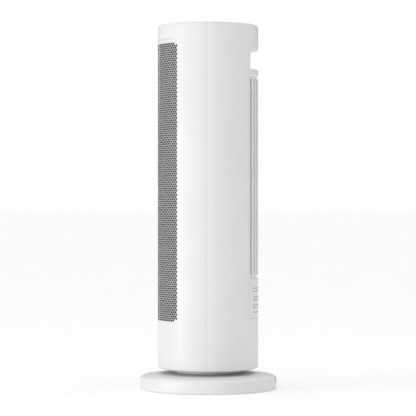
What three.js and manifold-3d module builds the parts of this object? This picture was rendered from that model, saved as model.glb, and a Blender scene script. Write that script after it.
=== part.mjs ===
// Ceramic tower heater on a round base, in millimetres.
// +Z is up, the warm-air front faces -Y, and the origin is on the floor at the swing axis.
import * as THREE from 'three';
import { mergeVertices } from 'three/addons/utils/BufferGeometryUtils.js';
import Module from 'manifold-3d';

const wasm = await Module();
wasm.setup();

// ---- driving dimensions -------------------------------------------------

const TOTAL_HEIGHT = 631;
const BODY_RADIUS = 87.5;
const BASE_RADIUS = 119;
const NECK_RADIUS = 56;
const SHELL_WALL = 2.5;
const GAP = 0.3; // clearance between neighbouring pieces
const FRONT_REACH = [-100, -20]; // depth range of a cut through the front of the tower
const REAR_REACH = [20, 100];
const ROUND_SIDES = 48;
const HIDDEN_SIDES = 24;
const SMALL_SIDES = 16;

const BASE_BOTTOM = 0.5;
const BASE_DRAFT = 1.1; // the base wall leans in by this much on its way up
const BASE_WALL_HEIGHT = 20.4;
const BASE_SHOULDER_RADIUS = 112.5; // where the sloping shoulder meets the flatter top
const BASE_SHOULDER_HEIGHT = 23.4;
const BASE_CROWN_HEIGHT = 28; // top of the base beside the neck

const BODY_BOTTOM = 35;
const BODY_BOTTOM_FILLET = 5;
const BODY_TOP_FILLET = 3;
const TOP_PANEL_HEIGHT = TOTAL_HEIGHT - 1;
const TOP_PANEL_THICKNESS = 3;

const GRILLE_BOTTOM = 117.5;
const GRILLE_TOP = 599;
const GRILLE_HALF_ANGLE = 54;
const GRILLE_CORNER = 5;
const GRILLE_SHEET = 1.2;

const GROOVE_HEIGHT = 604; // shadow line above the grille
const GROOVE_WIDTH = 2;
const GROOVE_DEPTH = 1.2;
const GROOVE_HALF_ANGLE = 50.9;

const PANEL_BOTTOM = 124;
const PANEL_TOP = 588.7;
const PANEL_CORNER = 5;
const PANEL_DEPTH = 7.5;
const FIN_COUNT = 10;
const FIN_PITCH_ANGLE = 7.7;
const FIN_GAP_ANGLE = 3.6;
const SLOT_BOTTOM = 198.5;
const SLOT_TOP = 536.5;
const LOWER_NOTCH = 195;
const UPPER_NOTCH = 540;
const NOTCH_DEPTH = 3.5;
const GRIP_FLOOR = 553.7;
const GRIP_BACK = 60.5; // distance of the grip's back wall from the axis
const LINER_WALL = 2.5;
const FILTER_THICKNESS = 0.8;

const FAN_OFFSET = 20; // the fan axis lies this far behind the swing axis
const WHEEL_RADIUS = 30;
const WHEEL_BOTTOM = 138;
const WHEEL_TOP = 522;
const BLADE_COUNT = 18;
const SHAFT_RADIUS = 3;

const GEAR_MODULE = 1.25;
const GEAR_TEETH = 48;
const PINION_TEETH = 16;
const GEAR_BOTTOM = 17;
const GEAR_TOP = 21.5;

const BUTTON_RADIUS = 8;
const BUTTON_RING_RADIUS = 45;
const BUTTON_STEP_ANGLE = 28;
const BUTTON_NAMES = ['mode', 'cooler', 'power', 'warmer', 'swing'];

// ---- materials ----------------------------------------------------------

function finish(color, roughness, metalness) {
  return new THREE.MeshStandardMaterial({ color, roughness, metalness });
}

const WHITE_PLASTIC = finish(0xf1f1f0, 0.45, 0);
const DARK_PLASTIC = finish(0x4c4d4f, 0.6, 0);
const PALE_GREY_PLASTIC = finish(0xc9cacb, 0.55, 0);
const PAINTED_SHEET = finish(0xe4e4e3, 0.5, 0.2);
const GREY_MESH = finish(0x5d5f61, 0.8, 0);
const BLACK_GLOSS = finish(0x101113, 0.12, 0);
const RUBBER = finish(0x2b2b2c, 0.9, 0);
const STEEL = finish(0xa9acb0, 0.35, 1);
const CAST_IRON = finish(0x4a4b4d, 0.7, 1);
const ALUMINIUM = finish(0xc4c7ca, 0.4, 1);
const CIRCUIT_BOARD = finish(0x1f5b3a, 0.6, 0);

// ---- solids -------------------------------------------------------------

// A closed mesh as a solid that can be joined and cut.
function toSolid(geometry) {
  geometry.deleteAttribute('normal');
  geometry.deleteAttribute('uv');
  const merged = mergeVertices(geometry, 1e-4);
  const corners = merged.index.array;
  const triangles = [];
  for (let i = 0; i < corners.length; i += 3) {
    const [a, b, c] = corners.subarray(i, i + 3);
    if (a !== b && b !== c && c !== a) {
      triangles.push(a, b, c);
    }
  }
  const mesh = new wasm.Mesh({
    numProp: 3,
    vertProperties: Float32Array.from(merged.attributes.position.array),
    triVerts: Uint32Array.from(triangles),
  });
  return new wasm.Manifold(mesh);
}

function toGeometry(solid) {
  const mesh = solid.getMesh();
  const geometry = new THREE.BufferGeometry();
  geometry.setAttribute('position', new THREE.BufferAttribute(mesh.vertProperties, 3));
  geometry.setIndex(new THREE.BufferAttribute(mesh.triVerts, 1));
  geometry.computeVertexNormals();
  return geometry;
}

function joined(solids) {
  return solids.reduce((whole, piece) => whole.add(piece));
}

function cutBy(solid, tools) {
  return tools.reduce((rest, tool) => rest.subtract(tool), solid);
}

// A profile of [radius, height] pairs, anticlockwise, turned about the Z axis.
function turned(profile, sides = ROUND_SIDES) {
  const closed = [...profile, profile[0]];
  const points = closed.map(([radius, height]) => new THREE.Vector2(radius, height));
  return toSolid(new THREE.LatheGeometry(points, sides).rotateX(Math.PI / 2));
}

function ring(innerRadius, outerRadius, bottom, top, sides = ROUND_SIDES) {
  return turned(
    [[innerRadius, bottom], [outerRadius, bottom], [outerRadius, top], [innerRadius, top]],
    sides,
  );
}

function disc(x, y, radius, bottom, top, sides = SMALL_SIDES) {
  const cylinder = new THREE.CylinderGeometry(radius, radius, top - bottom, sides);
  return toSolid(cylinder.rotateX(Math.PI / 2).translate(x, y, (top + bottom) / 2));
}

function block([x0, x1], [y0, y1], [z0, z1]) {
  const box = new THREE.BoxGeometry(x1 - x0, y1 - y0, z1 - z0);
  return toSolid(box.translate((x0 + x1) / 2, (y0 + y1) / 2, (z0 + z1) / 2));
}

// An outline in the XY plane, carried up from one height to another.
function upright(shape, bottom, top) {
  const options = { depth: top - bottom, bevelEnabled: false, curveSegments: 12 };
  return toSolid(new THREE.ExtrudeGeometry(shape, options).translate(0, 0, bottom));
}

// An outline in the XZ plane, carried along Y.
function along(shape, front, rear) {
  const options = { depth: rear - front, bevelEnabled: false, curveSegments: 6 };
  const geometry = new THREE.ExtrudeGeometry(shape, options);
  return toSolid(geometry.rotateX(Math.PI / 2).translate(0, rear, 0));
}

function roundedRectangle(halfWidth, bottom, top, corner) {
  const shape = new THREE.Shape();
  shape.moveTo(-halfWidth + corner, bottom);
  shape.lineTo(halfWidth - corner, bottom);
  shape.absarc(halfWidth - corner, bottom + corner, corner, -Math.PI / 2, 0);
  shape.lineTo(halfWidth, top - corner);
  shape.absarc(halfWidth - corner, top - corner, corner, 0, Math.PI / 2);
  shape.lineTo(-halfWidth + corner, top);
  shape.absarc(-halfWidth + corner, top - corner, corner, Math.PI / 2, Math.PI);
  shape.lineTo(-halfWidth, bottom + corner);
  shape.absarc(-halfWidth + corner, bottom + corner, corner, Math.PI, Math.PI * 1.5);
  return shape;
}

// Points of an arc from one angle to another, in degrees.
function arc(x, y, radius, from, to, steps) {
  return Array.from({ length: steps + 1 }, (_, step) => {
    const angle = THREE.MathUtils.degToRad(from + ((to - from) * step) / steps);
    return [x + radius * Math.cos(angle), y + radius * Math.sin(angle)];
  });
}

// Half the width of a window in the shell, from its half angle about the axis.
function halfWidthOf(angle) {
  return BODY_RADIUS * Math.sin(THREE.MathUtils.degToRad(angle));
}

const heater = new THREE.Group();

function place(name, solid, material) {
  const mesh = new THREE.Mesh(toGeometry(solid), material);
  mesh.name = name;
  heater.add(mesh);
}

// ---- base ---------------------------------------------------------------

const PLATE_BOTTOM = 2.6;
const PLATE_TOP = 5;
const SCREW_CIRCLE = 107;
const SCREW_ANGLES = [0, 90, 180, 270].map((angle) => THREE.MathUtils.degToRad(angle + 22.5));
const FOOT_CIRCLE = 97;
const FOOT_ANGLES = [45, 135, 225, 315].map((angle) => THREE.MathUtils.degToRad(angle));
const BOSS_RADIUS = 4;
const PILOT_RADIUS = 1.9;
const SCREW_HEAD_RADIUS = 3.4;
const SCREW_SHANK_RADIUS = 1.6;
const SCREW_TIP = 14;
const FOOT_RADIUS = 9;
const GLAND_HEIGHT = 13;
const GLAND_RADIUS = 5.5;
const GLAND_BORE = 3.6;
const NECK_SPIGOT_RADIUS = 50;
const NECK_TOP = 38.4;
const BALLAST_TOP = 11.3;

function around(radius, angle) {
  return [radius * Math.cos(angle), radius * Math.sin(angle)];
}

function glandBarrel(radius, front, rear) {
  const barrel = new THREE.CylinderGeometry(radius, radius, rear - front, SMALL_SIDES);
  return toSolid(barrel.translate(0, (front + rear) / 2, GLAND_HEIGHT));
}

// Moulded cover with a drafted wall and a gently domed top, and bosses for the plate screws.
function makeBaseCover() {
  const rimRadius = BASE_RADIUS - BASE_DRAFT;
  const shell = turned([
    [BASE_RADIUS - SHELL_WALL, BASE_BOTTOM],
    [BASE_RADIUS - 0.6, BASE_BOTTOM],
    [BASE_RADIUS, BASE_BOTTOM + 0.6],
    [rimRadius, BASE_WALL_HEIGHT - 0.4],
    [rimRadius - 0.6, BASE_WALL_HEIGHT],
    [BASE_SHOULDER_RADIUS + 1.5, BASE_SHOULDER_HEIGHT - 0.6],
    [BASE_SHOULDER_RADIUS - 1.5, BASE_SHOULDER_HEIGHT],
    [NECK_SPIGOT_RADIUS, BASE_CROWN_HEIGHT],
    [NECK_SPIGOT_RADIUS, BASE_CROWN_HEIGHT - SHELL_WALL],
    [BASE_SHOULDER_RADIUS - SHELL_WALL, BASE_SHOULDER_HEIGHT - SHELL_WALL],
    [rimRadius - SHELL_WALL, BASE_WALL_HEIGHT - SHELL_WALL],
  ]);
  const bosses = SCREW_ANGLES.map((angle) => {
    const [x, y] = around(SCREW_CIRCLE, angle);
    return disc(x, y, BOSS_RADIUS, PLATE_TOP + GAP, BASE_WALL_HEIGHT + 1, 12);
  });
  const pilotHoles = SCREW_ANGLES.map((angle) => {
    const [x, y] = around(SCREW_CIRCLE, angle);
    return disc(x, y, PILOT_RADIUS, PLATE_TOP - 1, SCREW_TIP + 2, 12);
  });
  const cover = joined([shell, ...bosses]);
  return cutBy(cover, [...pilotHoles, glandBarrel(GLAND_RADIUS + GAP, 105, 125)]);
}

function makeBasePlate() {
  const plate = disc(0, 0, BASE_RADIUS - SHELL_WALL - 0.8, PLATE_BOTTOM, PLATE_TOP, ROUND_SIDES);
  const screwHoles = SCREW_ANGLES.map((angle) => {
    const [x, y] = around(SCREW_CIRCLE, angle);
    return disc(x, y, SCREW_SHANK_RADIUS + 0.4, 0, 10, 12);
  });
  return cutBy(plate, screwHoles);
}

function makeBaseScrew(angle) {
  const [x, y] = around(SCREW_CIRCLE, angle);
  const head = disc(x, y, SCREW_HEAD_RADIUS, 0.9, PLATE_BOTTOM - GAP);
  const shank = disc(x, y, SCREW_SHANK_RADIUS, 1.5, SCREW_TIP, 12);
  return head.add(shank);
}

function makeFoot(angle) {
  const [x, y] = around(FOOT_CIRCLE, angle);
  return disc(x, y, FOOT_RADIUS, 0, PLATE_BOTTOM - GAP);
}

// Ring of ballast, low in the base, that keeps the tower upright.
function makeBallast() {
  return ring(62, 99, PLATE_TOP + GAP, BALLAST_TOP, HIDDEN_SIDES);
}

// Fixed collar that the tower turns in, with an inner flange that the spindle hangs from.
function makeNeckRing() {
  const innerRadius = NECK_SPIGOT_RADIUS - 6;
  const flangeRadius = SPINDLE_RADIUS + 2 * GAP;
  const flangeBottom = 27.5;
  const flangeTop = 31;
  const spigotBottom = 22.3;
  return turned([
    [flangeRadius, flangeBottom],
    [innerRadius, flangeBottom],
    [innerRadius, spigotBottom],
    [NECK_SPIGOT_RADIUS - GAP, spigotBottom],
    [NECK_SPIGOT_RADIUS - GAP, BASE_CROWN_HEIGHT + GAP],
    [NECK_RADIUS, BASE_CROWN_HEIGHT + GAP],
    [NECK_RADIUS, NECK_TOP],
    [innerRadius, NECK_TOP],
    [innerRadius, flangeTop],
    [flangeRadius, flangeTop],
  ], HIDDEN_SIDES);
}

const PINION_DISTANCE = (GEAR_MODULE * (GEAR_TEETH + PINION_TEETH)) / 2;
const PINION_SHAFT = 2.5;
const PINION_FOOT = 12.5;

function makeSwingMotor() {
  const canRadius = 17.5;
  const canTop = GEAR_BOTTOM - 1.2;
  const earSpan = [-canRadius - 8.5, canRadius + 8.5];
  const earDepth = [-PINION_DISTANCE - 4, -PINION_DISTANCE + 4];
  const can = disc(0, -PINION_DISTANCE, canRadius, PLATE_TOP + GAP, canTop);
  const ears = block(earSpan, earDepth, [PINION_FOOT - 0.5, PINION_FOOT + 1]);
  const bore = disc(0, -PINION_DISTANCE, PINION_SHAFT + 0.1, PINION_FOOT - 0.5, GEAR_TOP);
  return cutBy(can.add(ears), [bore]);
}

function makeTipOverSwitch() {
  return block([-88, -66], [-7, 7], [BALLAST_TOP + GAP, 22]);
}

function makeCordGland() {
  const barrel = glandBarrel(GLAND_RADIUS, 103, 117);
  const flange = glandBarrel(GLAND_RADIUS + 1.5, 101, 104.5);
  return cutBy(barrel.add(flange), [glandBarrel(GLAND_BORE, 90, 130)]);
}

// ---- swing drive --------------------------------------------------------

// Outline of a spur gear: a straight-flanked tooth with running backlash, repeated.
function gearOutline(teeth, firstToothAngle, boreRadius) {
  const pitchRadius = (GEAR_MODULE * teeth) / 2;
  const rootRadius = pitchRadius - 1.25 * GEAR_MODULE;
  const tipRadius = pitchRadius + 0.85 * GEAR_MODULE;
  const toothStep = (2 * Math.PI) / teeth;
  const rootHalf = (0.31 * Math.PI * GEAR_MODULE) / pitchRadius;
  const tipHalf = (0.11 * Math.PI * GEAR_MODULE) / pitchRadius;
  const corners = [];
  for (let tooth = 0; tooth < teeth; tooth += 1) {
    const middle = firstToothAngle + tooth * toothStep;
    corners.push(around(rootRadius, middle - rootHalf));
    corners.push(around(tipRadius, middle - tipHalf));
    corners.push(around(tipRadius, middle + tipHalf));
    corners.push(around(rootRadius, middle + rootHalf));
  }
  const shape = new THREE.Shape(corners.map(([x, y]) => new THREE.Vector2(x, y)));
  if (boreRadius > 0) {
    const bore = new THREE.Path();
    bore.absarc(0, 0, boreRadius, 0, 2 * Math.PI);
    shape.holes.push(bore);
  }
  return shape;
}

function makeSwingGear() {
  return upright(gearOutline(GEAR_TEETH, 0, SPINDLE_RADIUS + 2 * GAP), GEAR_BOTTOM, GEAR_TOP);
}

function makeSwingPinion() {
  const outline = gearOutline(PINION_TEETH, Math.PI / PINION_TEETH, 0);
  const geometry = new THREE.ExtrudeGeometry(outline, {
    depth: GEAR_TOP - GEAR_BOTTOM,
    bevelEnabled: false,
  });
  const teeth = toSolid(geometry.translate(0, -PINION_DISTANCE, GEAR_BOTTOM));
  return teeth.add(disc(0, -PINION_DISTANCE, PINION_SHAFT, PINION_FOOT, GEAR_BOTTOM + 1));
}

const SPINDLE_RADIUS = 20;
const SPINDLE_BORE = 12;
const TURNTABLE_RADIUS = 74;
const TURNTABLE_BOTTOM = 40;
const TURNTABLE_TOP = 43;
const WASHER_RADIUS = 34;

// Plate under the tower with the hollow spindle that the wires pass through.
function makeTurntable() {
  const spindleBottom = GEAR_BOTTOM - GAP;
  return turned([
    [SPINDLE_BORE, spindleBottom],
    [SPINDLE_RADIUS, spindleBottom],
    [SPINDLE_RADIUS, TURNTABLE_BOTTOM],
    [TURNTABLE_RADIUS, TURNTABLE_BOTTOM],
    [TURNTABLE_RADIUS, TURNTABLE_TOP],
    [SPINDLE_BORE, TURNTABLE_TOP],
  ], HIDDEN_SIDES);
}

// Washer under the neck flange that keeps the spindle from lifting out.
function makeRetainingWasher() {
  return ring(SPINDLE_RADIUS + 2 * GAP, WASHER_RADIUS, 24.9, 27.1, HIDDEN_SIDES);
}

// Slippery ring between the neck and the turntable.
function makeGlideRing() {
  return ring(NECK_RADIUS - 11, NECK_RADIUS - 1, NECK_TOP + GAP, TURNTABLE_BOTTOM - GAP, HIDDEN_SIDES);
}

// ---- tower shells -------------------------------------------------------

const INNER_RADIUS = BODY_RADIUS - SHELL_WALL;
const LIP_RADIUS = 78;

function makeFullShell() {
  const bottomCentre = BODY_RADIUS - BODY_BOTTOM_FILLET;
  const topCentre = BODY_RADIUS - BODY_TOP_FILLET;
  const fillet = BODY_BOTTOM_FILLET;
  return turned([
    [LIP_RADIUS, BODY_BOTTOM],
    ...arc(bottomCentre, BODY_BOTTOM + fillet, fillet, -90, 0, 5),
    ...arc(topCentre, TOTAL_HEIGHT - BODY_TOP_FILLET, BODY_TOP_FILLET, 0, 90, 4),
    [topCentre, TOTAL_HEIGHT - BODY_TOP_FILLET],
    [INNER_RADIUS, TOTAL_HEIGHT - BODY_TOP_FILLET],
    ...arc(bottomCentre, BODY_BOTTOM + fillet, fillet - SHELL_WALL, 0, -90, 3),
    [LIP_RADIUS, BODY_BOTTOM + SHELL_WALL],
  ]);
}

function halfSpace(side) {
  const reach = 2 * BODY_RADIUS;
  const near = GAP / 2;
  const range = side < 0 ? [-reach, -near] : [near, reach];
  return block([-reach, reach], range, [0, TOTAL_HEIGHT + 10]);
}

function makeFrontShell() {
  const windowHalf = halfWidthOf(GRILLE_HALF_ANGLE);
  const window = roundedRectangle(windowHalf, GRILLE_BOTTOM, GRILLE_TOP, GRILLE_CORNER);
  const grooveHalf = halfWidthOf(GROOVE_HALF_ANGLE);
  const grooveEdges = [GROOVE_HEIGHT - GROOVE_WIDTH / 2, GROOVE_HEIGHT + GROOVE_WIDTH / 2];
  const groove = block([-grooveHalf, grooveHalf], FRONT_REACH, grooveEdges).intersect(
    ring(BODY_RADIUS - GROOVE_DEPTH, BODY_RADIUS + 5, ...grooveEdges),
  );
  const half = makeFullShell().intersect(halfSpace(-1));
  return cutBy(half, [along(window, ...FRONT_REACH), groove]);
}

function makeRearShell() {
  const windowHalf = halfWidthOf(PANEL_HALF_ANGLE) + GAP;
  const window = roundedRectangle(windowHalf, PANEL_BOTTOM - GAP, PANEL_TOP, PANEL_CORNER);
  const half = makeFullShell().intersect(halfSpace(1));
  return cutBy(half, [along(window, ...REAR_REACH)]);
}

function makeFrontGrille() {
  const half = halfWidthOf(GRILLE_HALF_ANGLE) - GAP;
  const outline = roundedRectangle(half, GRILLE_BOTTOM + GAP, GRILLE_TOP - GAP, GRILLE_CORNER - GAP);
  const sheet = ring(BODY_RADIUS - GRILLE_SHEET, BODY_RADIUS, GRILLE_BOTTOM, GRILLE_TOP);
  return sheet.intersect(along(outline, ...FRONT_REACH));
}

function makeBottomCover() {
  return ring(NECK_RADIUS + 1.5, LIP_RADIUS - GAP, BODY_BOTTOM, BODY_BOTTOM + SHELL_WALL);
}

// ---- rear intake panel and grip -----------------------------------------

const PANEL_HALF_ANGLE = (FIN_COUNT * FIN_PITCH_ANGLE - FIN_GAP_ANGLE) / 2;
const GRIP_HALF_ANGLE = PANEL_HALF_ANGLE - (FIN_PITCH_ANGLE - FIN_GAP_ANGLE);
const PANEL_INNER_RADIUS = BODY_RADIUS - PANEL_DEPTH;

// A V-shaped groove across the panel between its two side rails.
function makeNotch(height) {
  const half = halfWidthOf(GRIP_HALF_ANGLE);
  const mouth = NOTCH_DEPTH + 1;
  const vee = turned([
    [BODY_RADIUS - NOTCH_DEPTH, height],
    [BODY_RADIUS + 1, height - mouth],
    [BODY_RADIUS + 1, height + mouth],
  ]);
  return vee.intersect(block([-half, half], REAR_REACH, [height - mouth, height + mouth]));
}

function makeSlot(index) {
  const middle = (index - (FIN_COUNT - 2) / 2) * FIN_PITCH_ANGLE;
  const left = halfWidthOf(middle - FIN_GAP_ANGLE / 2);
  const right = halfWidthOf(middle + FIN_GAP_ANGLE / 2);
  return block([left, right], REAR_REACH, [SLOT_BOTTOM, SLOT_TOP]);
}

// Outline that fills the rear shell's window: the intake panel below and the grip above.
function rearWindowFill() {
  const half = halfWidthOf(PANEL_HALF_ANGLE);
  return roundedRectangle(half, PANEL_BOTTOM, PANEL_TOP - GAP, PANEL_CORNER - GAP);
}

function makeRearPanel() {
  const gripHalf = halfWidthOf(GRIP_HALF_ANGLE);
  const sheet = ring(PANEL_INNER_RADIUS, BODY_RADIUS, PANEL_BOTTOM, GRIP_FLOOR);
  const plate = sheet.intersect(along(rearWindowFill(), ...REAR_REACH));
  const slots = Array.from({ length: FIN_COUNT - 1 }, (_, index) => makeSlot(index));
  const louvres = cutBy(plate, [...slots, makeNotch(LOWER_NOTCH), makeNotch(UPPER_NOTCH)]);
  const ribBottom = (SLOT_BOTTOM + SLOT_TOP) / 2 - 2;
  const ribTop = ribBottom + 4;
  const rib = ring(PANEL_INNER_RADIUS, PANEL_INNER_RADIUS + 1.5, ribBottom, ribTop).intersect(
    block([-gripHalf - 1, gripHalf + 1], REAR_REACH, [ribBottom, ribTop]),
  );
  return louvres.add(rib);
}

// Pocket above the panel that takes the fingers when the heater is carried, with a flush
// flange on each side of its mouth.
function makeGripCup() {
  const half = halfWidthOf(GRIP_HALF_ANGLE);
  const outside = block(
    [-half - LINER_WALL, half + LINER_WALL],
    [GRIP_BACK - LINER_WALL, 100],
    [GRIP_FLOOR - LINER_WALL, PANEL_TOP],
  );
  const inside = block([-half, half], [GRIP_BACK, 110], [GRIP_FLOOR, PANEL_TOP + 1]);
  const reach = disc(0, 0, PANEL_INNER_RADIUS - GAP, 500, TOTAL_HEIGHT, ROUND_SIDES);
  const walls = outside.subtract(inside).intersect(reach);
  const roofBlock = block(
    [-half - LINER_WALL, half + LINER_WALL],
    [GRIP_BACK - LINER_WALL, 100],
    [PANEL_TOP, PANEL_TOP + LINER_WALL],
  );
  const roof = roofBlock.intersect(disc(0, 0, INNER_RADIUS - GAP, 500, TOTAL_HEIGHT, ROUND_SIDES));
  const flangeBottom = GRIP_FLOOR + GAP;
  const flangeRing = ring(PANEL_INNER_RADIUS - 2, BODY_RADIUS, flangeBottom, PANEL_TOP);
  const mouth = block([-half, half], REAR_REACH, [flangeBottom, PANEL_TOP]);
  const flanges = flangeRing.intersect(along(rearWindowFill(), ...REAR_REACH)).subtract(mouth);
  return joined([walls, roof, flanges]);
}

function makeFilterScreen() {
  const outer = PANEL_INNER_RADIUS - 0.8;
  const bottom = SLOT_BOTTOM - 2;
  const top = SLOT_TOP + 2;
  const sheet = ring(outer - FILTER_THICKNESS, outer, bottom, top);
  const half = halfWidthOf(GRIP_HALF_ANGLE) - GAP;
  return sheet.intersect(block([-half, half], REAR_REACH, [bottom, top]));
}

// ---- inner frame, duct and fan ------------------------------------------

const LOWER_DECK = 128;
const UPPER_DECK = 532;
const DECK_THICKNESS = 3;
const HARNESS_SPOT = [-70, 18];

// Ring and four posts between the turntable and the lower deck.
function makeLowerFrame() {
  const footTop = TURNTABLE_TOP + GAP + 3;
  const foot = ring(TURNTABLE_RADIUS - 8, TURNTABLE_RADIUS, TURNTABLE_TOP + GAP, footTop);
  const posts = FOOT_ANGLES.map((angle) => {
    const [x, y] = around(TURNTABLE_RADIUS - 4, angle);
    return block([x - 4, x + 4], [y - 4, y + 4], [footTop - 1, LOWER_DECK - GAP]).intersect(
      disc(0, 0, TURNTABLE_RADIUS, TURNTABLE_TOP, LOWER_DECK, ROUND_SIDES),
    );
  });
  return joined([foot, ...posts]);
}

// Floor or roof of the air duct, set back behind the outlet guard.
function makeDeck(bottom) {
  const top = bottom + DECK_THICKNESS;
  const throughDeck = [bottom - 1, top + 1];
  const guardRoom = ring(GUARD_INNER_RADIUS - GAP, BODY_RADIUS, ...throughDeck).intersect(
    block([-BODY_RADIUS, BODY_RADIUS], GUARD_REACH, throughDeck),
  );
  const clip = block([-100, 100], [-100, PANEL_INNER_RADIUS - 20], [0, TOTAL_HEIGHT]);
  const plate = disc(0, 0, INNER_RADIUS - GAP, bottom, top, ROUND_SIDES).intersect(clip);
  const harnessHole = disc(...HARNESS_SPOT, 6, ...throughDeck);
  const shaftHole = disc(0, FAN_OFFSET, 9, ...throughDeck);
  return cutBy(plate, [harnessHole, shaftHole, guardRoom]);
}

const GUARD_REACH = [-100, -50]; // depth range that the guard takes up
const GUARD_INNER_RADIUS = 79.6;
const GUARD_OUTER_RADIUS = 84.2;
const GUARD_BAND_RADIUS = 81.2;
const GUARD_RIB_ANGLE = 6;
const GUARD_RIB_COUNT = 17;
const GUARD_RIB_WIDTH = 1.6;
const GUARD_HALF_ANGLE = (GUARD_RIB_ANGLE * (GUARD_RIB_COUNT - 1)) / 2;

// Upright ribs behind the grille, joined by a hoop across the outlet and by closed bands
// that hide the boards above it and the motor below it.
function makeOutletGuard() {
  const bottom = GRILLE_BOTTOM + 2;
  const top = GRILLE_TOP - 2;
  const middle = (LOWER_DECK + UPPER_DECK) / 2;
  const ribs = Array.from({ length: GUARD_RIB_COUNT }, (_, index) => {
    const width = [-GUARD_RIB_WIDTH / 2, GUARD_RIB_WIDTH / 2];
    const rib = block(width, [-GUARD_OUTER_RADIUS, -GUARD_INNER_RADIUS - 0.2], [bottom, top]);
    return rib.rotate([0, 0, index * GUARD_RIB_ANGLE - GUARD_HALF_ANGLE]);
  });
  const halfWidth = GUARD_INNER_RADIUS * Math.sin(THREE.MathUtils.degToRad(GUARD_HALF_ANGLE));
  const lowerBand = [bottom, LOWER_DECK];
  const hoop = [middle - 2, middle + 2];
  const upperBand = [UPPER_DECK + DECK_THICKNESS, top];
  const bands = [lowerBand, hoop, upperBand].map((heights) => {
    return ring(GUARD_INNER_RADIUS, GUARD_BAND_RADIUS, ...heights).intersect(
      block([-halfWidth, halfWidth], FRONT_REACH, heights),
    );
  });
  return joined([...bands, ...ribs]);
}

// A wall of even thickness that follows a line of points.
function ribbon(points, thickness) {
  const line = points.map(([x, y]) => new THREE.Vector2(x, y));
  const left = [];
  const right = [];
  line.forEach((point, index) => {
    const before = line[Math.max(index - 1, 0)];
    const after = line[Math.min(index + 1, line.length - 1)];
    const heading = after.clone().sub(before).normalize();
    const across = new THREE.Vector2(-heading.y, heading.x).multiplyScalar(thickness / 2);
    left.push(point.clone().add(across));
    right.unshift(point.clone().sub(across));
  });
  return new THREE.Shape([...left, ...right]);
}

// Scroll on one side of the fan wheel: it opens away from the wheel towards the outlet.
function makeScrollWall() {
  const scroll = Array.from({ length: 6 }, (_, step) => {
    const angle = THREE.MathUtils.degToRad(165 + 13 * step);
    const radius = WHEEL_RADIUS + 3.5 + 1.8 * step;
    return [radius * Math.cos(angle), FAN_OFFSET + radius * Math.sin(angle)];
  });
  const line = [[-46, 58], ...scroll, [-53, -33]];
  return upright(ribbon(line, 2), LOWER_DECK + DECK_THICKNESS + GAP, UPPER_DECK - GAP);
}

function makeTongueWall() {
  const line = [[46, 58], [36, 32], [34.5, 14], [40, -6], [53, -33]];
  return upright(ribbon(line, 2), LOWER_DECK + DECK_THICKNESS + GAP, UPPER_DECK - GAP);
}

function makeFanWheel() {
  const blade = ribbon([[21, 0], [29.4, 4]], 1);
  const blades = Array.from({ length: BLADE_COUNT }, (_, index) => {
    const options = { depth: WHEEL_TOP - WHEEL_BOTTOM - 2, bevelEnabled: false };
    const geometry = new THREE.ExtrudeGeometry(blade, options);
    geometry.rotateZ((index * 2 * Math.PI) / BLADE_COUNT);
    return toSolid(geometry.translate(0, 0, WHEEL_BOTTOM + 1));
  });
  const endDiscs = [WHEEL_BOTTOM, WHEEL_TOP - 3].map((height) => {
    return ring(SHAFT_RADIUS + GAP, WHEEL_RADIUS, height, height + 3, HIDDEN_SIDES);
  });
  const middle = (WHEEL_BOTTOM + WHEEL_TOP) / 2;
  const hoop = ring(20.5, WHEEL_RADIUS, middle - 1, middle + 1, HIDDEN_SIDES);
  return joined([...endDiscs, hoop, ...blades]).translate([0, FAN_OFFSET, 0]);
}

function makeWheelShaft() {
  return disc(0, FAN_OFFSET, SHAFT_RADIUS, 121, UPPER_DECK + 1);
}

function makeFanMotor() {
  const can = disc(0, FAN_OFFSET, 24, 84, 118, HIDDEN_SIDES);
  const collar = disc(0, FAN_OFFSET, 9, 117, 124);
  const ears = block([-36, 36], [FAN_OFFSET - 6, FAN_OFFSET + 6], [114, 117]);
  const bore = disc(0, FAN_OFFSET, SHAFT_RADIUS + 0.1, 120, 130);
  return cutBy(joined([can, collar, ears]), [bore]);
}

function makeTopBearing() {
  return ring(SHAFT_RADIUS + 0.1, 8, 525, 531, SMALL_SIDES).translate([0, FAN_OFFSET, 0]);
}

// ---- ceramic heating element --------------------------------------------

const HEATER_BOTTOM = 145;
const HEATER_TOP = 525;
const HEATER_FRONT = -57;
const HEATER_BACK = -36;
const CORE_PITCH = 33.5;
const HEATING_FIN_COUNT = 9;

function makeHeaterFrame() {
  const outer = block([-56, 56], [HEATER_FRONT, HEATER_BACK], [HEATER_BOTTOM, HEATER_TOP]);
  const inner = block([-51, 51], [-90, 0], [HEATER_BOTTOM + 4, HEATER_TOP - 4]);
  const reach = disc(0, 0, GUARD_INNER_RADIUS - GAP, 100, TOTAL_HEIGHT, ROUND_SIDES);
  return outer.subtract(inner).intersect(reach);
}

// One ceramic bar in its aluminium tube, with the fins bonded across it.
function makeHeatingCore(column) {
  const middle = (column - 1) * CORE_PITCH;
  const bottom = HEATER_BOTTOM + 4 + GAP;
  const top = HEATER_TOP - 4 - GAP;
  const bar = block([middle - 4, middle + 4], [HEATER_FRONT + 4, HEATER_BACK - 4], [bottom, top]);
  const pitch = (top - bottom) / HEATING_FIN_COUNT;
  const fins = Array.from({ length: HEATING_FIN_COUNT }, (_, index) => {
    const height = bottom + (index + 0.5) * pitch;
    const width = [middle - 16, middle + 16];
    return block(width, [HEATER_FRONT + 6, HEATER_BACK - 6], [height - 0.6, height + 0.6]);
  });
  return joined([bar, ...fins]);
}

function makeThermalCutout() {
  const can = disc(24, -49, 8, HEATER_TOP + GAP, HEATER_TOP + 5);
  const ears = block([12, 36], [-52, -46], [HEATER_TOP + GAP, HEATER_TOP + 1.5]);
  return can.add(ears);
}

// ---- electronics and controls -------------------------------------------

const BOARD_THICKNESS = 1.6;
const POWER_BOARD_BOTTOM = 545;
const KEY_BOARD_BOTTOM = 609.6;

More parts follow.
